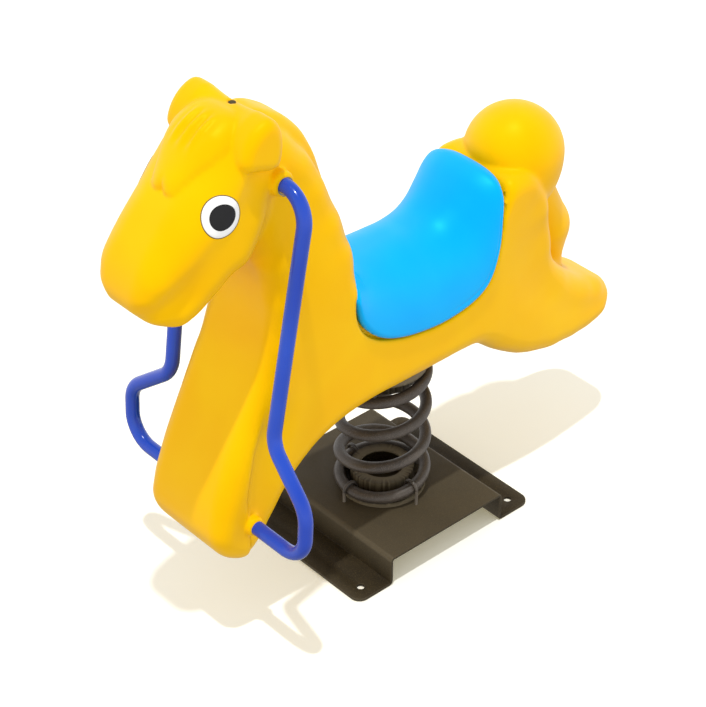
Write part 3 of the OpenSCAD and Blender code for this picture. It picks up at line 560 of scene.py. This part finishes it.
def chain(field, points, k):
    """Smoothly joins a string of rounds, x, y, z over the belly and radius, to the field."""
    own = None
    pts = [(x, y, z + BELLY, r) for x, y, z, r in points]
    reach = max(p[3] for p in pts) + 2.5 * k + 12
    cut, (x, y, z) = part([min(p[i] for p in pts) - reach for i in range(3)],
                          [max(p[i] for p in pts) + reach for i in range(3)])
    for a, b in zip(pts, pts[1:]):
        e = np.subtract(b[:3], a[:3])
        t = np.clip(((x - a[0]) * e[0] + (y - a[1]) * e[1] + (z - a[2]) * e[2]) / (e @ e), 0, 1)
        d = np.sqrt((x - a[0] - t * e[0]) ** 2 + (y - a[1] - t * e[1]) ** 2 + (z - a[2] - t * e[2]) ** 2)
        d = d - a[3] - ease(t) * (b[3] - a[3])
        own = d if own is None else smin(own, d, 8.0)
    field[cut] = smin(field[cut], own, k)
    return field


def boss(field, centre, r, face):
    """Joins a ball cut off flat where a bar goes in, on both sides."""
    reach = r + 12
    for side in (1, -1):
        x0, y0, z0 = centre[0], side * centre[1], centre[2] + BELLY
        cut, (x, y, z) = part((x0 - reach, y0 - reach, z0 - reach), (x0 + reach, y0 + reach, z0 + reach))
        ball = np.sqrt((x - x0) ** 2 + (y - y0) ** 2 + (z - z0) ** 2) - r
        field[cut] = smin(field[cut], smax(ball, side * y - face, 3.0), 3.0)
    return field


def egg(field, centre, r, low, k):
    """Joins a ball whose lower half is drawn out downwards."""
    x0, z0, room = centre[0], centre[1] + BELLY, 15
    wide = r + room
    cut, (x, y, z) = part((x0 - wide, -wide, z0 - low - room), (x0 + wide, wide, z0 + wide))
    up = z - z0
    own = np.sqrt((x - x0) ** 2 + y ** 2 + np.where(up < 0, up * r / low, up) ** 2) - r
    field[cut] = smin(field[cut], own, k)
    return field


# Moulded body as one smooth field
field = rows_slab(TRUNK, narrower=leg_groove())
shoulder = 4 + 16 * ease((-fx - 150) / 30) * ease((fz - 235) / 40)
field = smax(field, -saddle_recess(), shoulder[:, None, :])
field = smin(field, rows_slab([(*r[:4], r[4] / HALF_W, r[5]) for r in MANE]), 8.0)
head = rows_slab(HEAD)
field = smin(field, head, 16.0)
field = ears(field)
field = forelock(field, head)
dimple = np.hypot(gx[:, None] - VENT_X, gy[None, :]) - VENT_R
field = np.maximum(field, -np.maximum(dimple[:, :, None], (BELLY + VENT_FLOOR - gz)[None, None, :]))
field = egg(field, BALL_AT, BALL_R, BALL_LOW, 5.0)
field = chain(field, TAIL, 6.0)
for centre, r, face in BOSSES:
    field = boss(field, centre, r, face)
flat_x = np.abs(gx)[:, None, None] - FLAT_HALF
flat_z = (gz - BELLY - FLAT_Z)[None, None, :]
field = np.maximum(field, -np.maximum(flat_x, flat_z))


def sample(grid, p):
    """Trilinear value of a grid at points in millimetres."""
    q = np.stack([np.interp(p[:, i], g, np.arange(len(g))) for i, g in enumerate(GRID)], axis=1)
    i = np.clip(np.floor(q).astype(int), 0, np.array(grid.shape) - 2)
    f = q - i
    out = 0.0
    for corner in CORNERS:
        w = np.prod(np.where(corner, f, 1 - f), axis=1)
        out = out + w * grid[tuple((i + corner).T)]
    return out


slope = np.gradient(field, *GRID)


def gradient(p):
    return np.stack([sample(g, p) for g in slope], axis=1)


def skin(field):
    """Quads over the zero level of the field, with corners drawn onto it."""
    inside = field < 0
    nx, ny, nz = (n - 1 for n in field.shape)
    count = sum(inside[a:a + nx, b:b + ny, c:c + nz].astype(np.int8) for a, b, c in CORNERS)
    cells = np.argwhere((count > 0) & (count < 8))
    number = np.full(count.shape, -1, np.int64)
    number[tuple(cells.T)] = np.arange(len(cells))
    total, hits = np.zeros((len(cells), 3)), np.zeros(len(cells))
    for m, a in enumerate(CORNERS):
        for b in CORNERS[m + 1:]:
            if sum(abs(i - j) for i, j in zip(a, b)) != 1:
                continue
            va = field[tuple((cells + a).T)]
            vb = field[tuple((cells + b).T)]
            cross = (va < 0) != (vb < 0)
            t = (va / np.where(cross, va - vb, 1))[:, None]
            total += np.where(cross[:, None], np.array(a) + t * np.subtract(b, a), 0)
            hits += cross
    at = cells + total / hits[:, None]
    points = np.stack([np.interp(at[:, i], np.arange(len(g)), g) for i, g in enumerate(GRID)], axis=1)
    quads = []
    for axis in range(3):
        one, two = (axis + 1) % 3, (axis + 2) % 3
        low = [slice(None)] * 3
        high = [slice(None)] * 3
        low[axis], high[axis] = slice(None, -1), slice(1, None)
        for other in (one, two):
            low[other] = high[other] = slice(1, -1)
        at = np.argwhere(inside[tuple(low)] != inside[tuple(high)])
        at[:, one] += 1
        at[:, two] += 1
        ring = []
        for d1, d2 in ((1, 1), (0, 1), (0, 0), (1, 0)):
            c = at.copy()
            c[:, one] -= d1
            c[:, two] -= d2
            ring.append(number[tuple(c.T)])
        quad = np.stack(ring, axis=1)
        out = inside[tuple(at.T)]
        quads.append(np.where(out[:, None], quad, quad[:, ::-1]))
    for _ in range(3):
        g = gradient(points)
        move = sample(field, points)[:, None] * g / np.maximum((g * g).sum(1, keepdims=True), 0.1)
        far = np.linalg.norm(move, axis=1, keepdims=True)
        points = points - move * np.minimum(1, 1.5 / np.maximum(far, 1e-9))
    return points, np.concatenate(quads)


add_mesh("horse_moulding", *skin(field), YELLOW, "rider", ["horse_body"], "yellow_plastic")

# Eyes lie on the cheeks: way they face, middle of the white and of the pupil
EYE_WAY = (.341, .888, .309)
EYE_AT, PUPIL_AT = (416, 89, 502), (414, 89, 501)
# Rings of an eye's faces as shares of its size, and the height of each as a share of its lift
EYE_RINGS = (0.15, 0.35, 0.55, 0.72, 0.86, 0.95, 1.0)
EYE_RISE = (1, 1, 1, 1, 0.96, 0.85, 0.4)


def eye_piece(name, side, wide, tall, lift, skirt, mat, node, slot, centre=EYE_AT):
    """Oval that lies on the cheek, raised by its lift, with a skirt that goes into the cheek."""
    n = np.array((EYE_WAY[0], side * EYE_WAY[1], EYE_WAY[2]))
    n /= np.linalg.norm(n)
    u = np.cross((0, 0, 1), n)
    u /= np.linalg.norm(u)
    v = np.cross(n, u)
    c = np.array((centre[0], side * centre[1], centre[2] + BELLY), float)
    rings = EYE_RINGS + EYE_RINGS[-1:]
    lifts = [lift * share for share in EYE_RISE] + [-skirt]
    angles = np.linspace(0, 2 * math.pi, 64, endpoint=False)
    oval = [wide * math.cos(a) * u + tall * math.sin(a) * v for a in angles]
    on = np.array([c + r * p for r in rings for p in oval] + [c])
    for _ in range(12):
        g = gradient(on)
        on -= (sample(field, on) / (g @ n).clip(0.2))[:, None] * n
    rise = np.array([h for h in lifts for _ in angles] + [lift])
    on += rise[:, None] * n
    k = len(angles)
    faces = [(len(on) - 1, i, (i + 1) % k) for i in range(k)]
    for r in range(len(rings) - 1):
        a, b = r * k, (r + 1) * k
        faces += [(a + i, b + i, b + (i + 1) % k, a + (i + 1) % k) for i in range(k)]
    add_mesh(name, on, faces, mat, "rider", node, slot)


for word, side in (("left", 1), ("right", -1)):
    eye_piece(word + "_eye_edge", side, 33.2, 35.3, 0.7, 1.2, OLIVE, (), "eye_black")
    eye_piece(word + "_eye_ball", side, 31.8, 33.8, 1.5, 1.0, WHITE, [word + "_eye_white"], "eye_white")
    eye_piece(word + "_eye_pupil", side, 22.8, 22.0, 2.4, 0.0, BLACK, [word + "_pupil"], "eye_black",
              PUPIL_AT)


# Tubes
def rounded_path(points, radius, step_deg=6, step=25):
    """Straight runs joined by arcs of one bend radius."""
    p = [np.asarray(q, float) for q in points]
    out = [p[0]]
    for a, b, c in zip(p, p[1:], p[2:]):
        to_a, to_c = np.linalg.norm(a - b), np.linalg.norm(c - b)
        u, w = (a - b) / to_a, (c - b) / to_c
        half = math.acos(max(-1, min(1, u @ w))) / 2
        r = min(radius, 0.49 * math.tan(half) * min(to_a, to_c))
        mid = (u + w) / np.linalg.norm(u + w)
        centre = b + mid * r / math.sin(half)
        first, last = b + u * r / math.tan(half) - centre, b + w * r / math.tan(half) - centre
        turn = math.pi - 2 * half
        n = max(3, int(math.degrees(turn) / step_deg))
        for i in range(n + 1):
            f = i / n
            arc = math.sin((1 - f) * turn) * first + math.sin(f * turn) * last
            out.append(centre + arc / math.sin(turn))
    out.append(p[-1])
    dense = [out[0]]
    for a, b in zip(out, out[1:]):
        n = max(1, int(np.linalg.norm(b - a) / step))
        dense += [a + (b - a) * i / n for i in range(1, n + 1)]
    return np.array(dense)


def tube_tree():
    """Geometry Nodes tree that runs a round tube along a path, thinner where the path says."""
    tree = bpy.data.node_groups.new("tube_along_path", "GeometryNodeTree")
    sockets = {}
    for word, kind in (("Path", "Geometry"), ("Tube Radius", "Float"), ("Sides", "Int"),
                       ("Finish", "Material")):
        socket = tree.interface.new_socket(word, in_out="INPUT", socket_type="NodeSocket" + kind)
        sockets[word] = socket.identifier
    tree.interface.new_socket("Tube", in_out="OUTPUT", socket_type="NodeSocketGeometry")
    given, result = tree.nodes.new("NodeGroupInput"), tree.nodes.new("NodeGroupOutput")
    curve = tree.nodes.new("GeometryNodeMeshToCurve")
    ring = tree.nodes.new("GeometryNodeCurvePrimitiveCircle")
    sweep = tree.nodes.new("GeometryNodeCurveToMesh")
    sweep.inputs["Fill Caps"].default_value = True
    thin = tree.nodes.new("GeometryNodeInputNamedAttribute")
    thin.inputs["Name"].default_value = "thickness"
    smooth = tree.nodes.new("GeometryNodeSetShadeSmooth")
    real = tree.nodes.new("GeometryNodeRealizeInstances")
    paint = tree.nodes.new("GeometryNodeSetMaterial")
    for a, b in ((given.outputs["Path"], curve.inputs["Mesh"]),
                 (given.outputs["Sides"], ring.inputs["Resolution"]),
                 (given.outputs["Tube Radius"], ring.inputs["Radius"]),
                 (curve.outputs[0], sweep.inputs["Curve"]),
                 (ring.outputs["Curve"], sweep.inputs["Profile Curve"]),
                 (thin.outputs["Attribute"], sweep.inputs["Scale"]),
                 (sweep.outputs[0], smooth.inputs["Geometry"]),
                 (smooth.outputs[0], real.inputs["Geometry"]),
                 (real.outputs[0], paint.inputs["Geometry"]),
                 (given.outputs["Finish"], paint.inputs["Material"]),
                 (paint.outputs[0], result.inputs["Tube"])):
        tree.links.new(a, b)
    return tree, sockets


TUBE_TREE, TUBE_SOCKETS = tube_tree()


def finished_mesh(o):
    """Gives an object the mesh that its modifiers make, and takes them off."""
    bpy.context.view_layer.update()
    done = bpy.data.meshes.new_from_object(o.evaluated_get(bpy.context.evaluated_depsgraph_get()))
    o.modifiers.clear()
    o.data = done
    return done


def run_tube(name, path, radius, sides, mat, thickness=1.0):
    """Plain mesh of a tube along points in millimetres."""
    me = bpy.data.meshes.new(name)
    me.from_pydata(path * MM, [(i, i + 1) for i in range(len(path) - 1)], [])
    thin = me.attributes.new("thickness", "FLOAT", "POINT")
    thin.data.foreach_set("value", np.broadcast_to(thickness, len(path)).astype(np.float32))
    o = bpy.data.objects.new(name, me)
    scene.collection.objects.link(o)
    mod = o.modifiers.new("tube", "NODES")
    mod.node_group = TUBE_TREE
    for word, value in (("Tube Radius", radius * MM), ("Sides", sides), ("Finish", mat)):
        mod[TUBE_SOCKETS[word]] = value
    done = finished_mesh(o)
    bm = bmesh.new()
    bm.from_mesh(done)
    bmesh.ops.recalc_face_normals(bm, faces=bm.faces)
    bm.to_mesh(done)
    bm.free()
    done.set_sharp_from_angle(angle=math.radians(50))
    return o


# Handle on the left side, from the neck down to the footrest and into the leg: corners, radius and bend
BAR = [(294, 38, 511), (294, 148, 511), (364, 133, 67), (379, 232, -10), (384, 232, -114), (384, 48, -114)]
BAR_R, BAR_BEND = 12.7, 52.0
for word, side in (("left", 1), ("right", -1)):
    path = rounded_path([(x, side * y, z + BELLY) for x, y, z in BAR], BAR_BEND)
    bar = run_tube(word + "_bar", path, BAR_R, 40, TUBE)
    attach(bar, "rider")
    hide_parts(word + "_handle")


# Coil spring in two halves that part at its middle, where both hinges lie
WIRE, COIL_R, COIL_H, TURNS, EASE, COIL_END, COIL_Z = 22.0, 78.0, 260.0, 3.5, 0.2, 39.0, 70.0
PITCH = (COIL_H - WIRE) / (TURNS - EASE)
FLAT = 1 - (WIRE + 1.5) / PITCH - EASE / 2
ALL_TURNS = TURNS + 2 * FLAT
# Rounding of the wire's cut ends and the share of its thickness that is left there
CUT_ROUND, CUT_THIN = 1.6, 0.86


def ramp_up(u):
    """Rise of the wire in pitches, with a soft start from the flat turn."""
    return np.where(u <= 0, 0, np.where(u < EASE, u * u / (2 * EASE), u - EASE / 2))


def coil(t):
    """Middle of the wire at turns t from its lower end."""
    a = np.radians(COIL_END + 360 * (t - ALL_TURNS))
    u = t - FLAT
    rise = np.where(u < TURNS / 2, PITCH * ramp_up(u), COIL_H - WIRE - PITCH * ramp_up(TURNS - u))
    return np.stack([COIL_R * np.cos(a), COIL_R * np.sin(a), COIL_Z + WIRE / 2 + rise], axis=1)


def coil_half(name, turns):
    """Half of the wire, with its cut end slightly rounded."""
    cut_end = np.minimum(np.minimum(turns, ALL_TURNS - turns) * 2 * math.pi * COIL_R, CUT_ROUND)
    full = np.sqrt(1 - (1 - cut_end / CUT_ROUND) ** 2)
    o = run_tube(name, coil(turns), WIRE / 2 - 0.15, 32, SPRING, CUT_THIN + (1 - CUT_THIN) * full)
    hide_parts("coil_spring")
    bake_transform(o)


TIP = np.array([0, .0006, .0015, .003])
HALF, NEXT, STEPS = ALL_TURNS / 2, .006, 180
lower_turns = np.concatenate([TIP, np.linspace(NEXT, HALF, STEPS)])
upper_turns = np.concatenate([np.linspace(HALF, ALL_TURNS - NEXT, STEPS), ALL_TURNS - TIP[::-1]])
coil_half("spring_lower_half", lower_turns)
coil_half("spring_upper_half", upper_turns)

# Folded base plate: half length of its raised part, height, thickness, half length, half width and corners
BASE_HALF, BASE_TOP, BASE_T, BASE_END, BASE_WIDE, BASE_CORNER = 137.5, 61.0, 6.0, 213.5, 175.0, 20.0
# Outer and inner radius of its folds, and the ground holes: place and radius
FOLD_OUT, FOLD_IN = 9.0, 3.0
HOLE_X, HOLE_Y, HOLE_R = 183.0, 146.0, 7.0
SIGNS = [(sx, sy) for sx in (-1, 1) for sy in (-1, 1)]


def fill_prism(bm, low, high):
    """Closed prism between two rings of corners."""
    bm.faces.new(low)
    bm.faces.new(high[::-1])
    for i in range(len(low)):
        j = (i + 1) % len(low)
        bm.faces.new((low[i], low[j], high[j], high[i]))


def base_section():
    """Outline of the folded plate, x and z."""
    def arc(cx, cz, r, a0, a1, n=6):
        angles = [math.radians(a0 + (a1 - a0) * i / n) for i in range(n + 1)]
        return [(cx + r * math.cos(a), cz + r * math.sin(a)) for a in angles]

    inner = BASE_HALF - BASE_T
    right = [(0, BASE_TOP)]
    right += arc(BASE_HALF - FOLD_OUT, BASE_TOP - FOLD_OUT, FOLD_OUT, 90, 0)
    right += arc(BASE_HALF + FOLD_IN, BASE_T + FOLD_IN, FOLD_IN, 180, 270, 4)
    right += [(BASE_END, BASE_T), (BASE_END, 0)]
    right += arc(inner + FOLD_OUT, FOLD_OUT, FOLD_OUT, 270, 180)
    right += arc(inner - FOLD_IN, BASE_TOP - BASE_T - FOLD_IN, FOLD_IN, 0, 90, 4)
    right += [(0, BASE_TOP - BASE_T)]
    return right[:-1] + [(-x, z) for x, z in right[::-1]][:-1]


def ground_holes(bm):
    for sx, sy in SIGNS:
        hole = bmesh.ops.create_cone(bm, cap_ends=True, segments=40, radius1=HOLE_R * MM, radius2=HOLE_R * MM,
                                     depth=0.03)
        bmesh.ops.translate(bm, verts=hole["verts"], vec=(sx * HOLE_X * MM, sy * HOLE_Y * MM, 0.003))


def corner_waste(bm):
    """What is cut off outside the rounded corners."""
    past = 5
    for sx, sy in SIGNS:
        cx, cy = sx * (BASE_END - BASE_CORNER), sy * (BASE_WIDE - BASE_CORNER)
        pts = [(sx * (BASE_END + past), sy * (BASE_WIDE + past)), (sx * (BASE_END + past), cy)]
        for i in range(13):
            f = math.radians(90 * i / 12)
            pts.append((cx + sx * BASE_CORNER * math.cos(f), cy + sy * BASE_CORNER * math.sin(f)))
        pts.append((cx, sy * (BASE_WIDE + past)))
        fill_prism(bm, *([bm.verts.new((x * MM, y * MM, z)) for x, y in pts] for z in (-0.01, 0.02)))
    bmesh.ops.recalc_face_normals(bm, faces=bm.faces)


def base_piece():
    """Plate with its folds, rounded corners, ground holes and softened edges."""
    outline = base_section()
    bm = bmesh.new()
    loops = [[bm.verts.new((x * MM, y * MM, z * MM)) for x, z in outline] for y in (-BASE_WIDE, BASE_WIDE)]
    fill_prism(bm, *loops)
    bmesh.ops.recalc_face_normals(bm, faces=bm.faces)
    me = bpy.data.meshes.new("folded_base")
    bm.to_mesh(me)
    bm.free()
    o = bpy.data.objects.new("folded_base", me)
    scene.collection.objects.link(o)
    cutters = []
    for build in (ground_holes, corner_waste):
        b = bmesh.new()
        build(b)
        m = bpy.data.meshes.new("cut")
        b.to_mesh(m)
        b.free()
        c = bpy.data.objects.new("cut", m)
        scene.collection.objects.link(c)
        cutters.append(c)
        mod = o.modifiers.new("cut", "BOOLEAN")
        mod.operation = "DIFFERENCE"
        mod.solver = "EXACT"
        mod.object = c
    bevel = o.modifiers.new("edges", "BEVEL")
    bevel.width = 1.1 * MM
    bevel.segments = 2
    bevel.limit_method = "ANGLE"
    bevel.angle_limit = math.radians(50)
    done = finished_mesh(o)
    for c in cutters:
        bpy.data.objects.remove(c)
    done.materials.clear()
    done.materials.append(COAT)
    done.shade_smooth()
    done.set_sharp_from_angle(angle=math.radians(40))
    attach(o, "base")
    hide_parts("base_plate")


base_piece()

# CAD nodes that stay, with finished materials
finish = {
    "lower_spring_seat": COAT, "upper_spring_seat": COAT, "upper_mount_plate": COAT,
    "lower_spring_clamps": CLAMP, "upper_spring_clamps": CLAMP, "lower_clamp_washers": CLAMP,
    "upper_clamp_washers": CLAMP, "lower_clamp_nuts": CLAMP, "upper_clamp_nuts": CLAMP,
    "body_bolts": ZINC, "body_bolt_washers": ZINC, "body_inserts": BRASS, "saddle_bolts": ZINC,
    "saddle_bolt_washers": ZINC, "saddle_inserts": BRASS, "upper_cross_sleeve": ZINC,
    "lower_cross_sleeve": ZINC, "handle_set_screws": ZINC, "vent_plug": RUBBER}
for name, mat in finish.items():
    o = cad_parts[name]
    if not o.material_slots:
        o.data.materials.append(mat)
    for s in o.material_slots:
        s.material = mat

# Pale floor that glows a little, so that shadows stay warm and light
FLOOR_GLOW, FLOOR_GLOW_STRENGTH = (1.0, 0.89, 0.46, 1), 0.2
FLOOR = material("pale_floor", (250, 249, 246), (254, 253, 250), (0.7, 0.9), patch=2, grain=200, bump=0.02)
glow = FLOOR.node_tree.nodes["Principled BSDF"].inputs
glow["Emission Color"].default_value = FLOOR_GLOW
glow["Emission Strength"].default_value = FLOOR_GLOW_STRENGTH
bm = bmesh.new()
bmesh.ops.create_grid(bm, x_segments=8, y_segments=8, size=6.0)
me = bpy.data.meshes.new("floor")
bm.to_mesh(me)
bm.free()
me.materials.append(FLOOR)
floor = bpy.data.objects.new("floor", me)
floor.location = (0, 0, -0.0005)
scene.collection.objects.link(floor)
floor.visible_diffuse = False
floor.visible_glossy = False

# Soft light all round, brightest at eye level, with a sun nearly overhead
SKY_BELOW, SKY_LEVEL, SKY_ABOVE, SKY_STRENGTH = .36, 1.0, .40, 1.27
SUN_STRENGTH, SUN_SIZE, SUN_TURN = 1.65, 1.6, (-5, 7.5, 0)
world = bpy.data.worlds.new("studio")
world.use_nodes = True
sky = world.node_tree
height = sky.nodes.new("ShaderNodeSeparateXYZ")
sky.links.new(sky.nodes.new("ShaderNodeTexCoord").outputs["Generated"], height.inputs[0])
level = sky.nodes.new("ShaderNodeMapRange")
level.inputs["From Min"].default_value = -1.0
sky.links.new(height.outputs["Z"], level.inputs["Value"])
shade = sky.nodes.new("ShaderNodeValToRGB")
steps = shade.color_ramp.elements
steps[0].position, steps[0].color = 0.0, (SKY_BELOW, SKY_BELOW, SKY_BELOW, 1)
steps[1].position, steps[1].color = 1.0, (SKY_ABOVE, SKY_ABOVE, SKY_ABOVE, 1)
steps.new(0.5).color = (SKY_LEVEL, SKY_LEVEL, SKY_LEVEL, 1)
sky.links.new(level.outputs["Result"], shade.inputs["Fac"])
sky.links.new(shade.outputs["Color"], sky.nodes["Background"].inputs["Color"])
sky.nodes["Background"].inputs["Strength"].default_value = SKY_STRENGTH
scene.world = world
sun = bpy.data.lights.new("overhead", "SUN")
sun.energy = SUN_STRENGTH
sun.angle = math.radians(SUN_SIZE)
sun_o = bpy.data.objects.new("overhead", sun)
sun_o.rotation_euler = tuple(math.radians(a) for a in SUN_TURN)
scene.collection.objects.link(sun_o)
scene.view_settings.view_transform = "Standard"
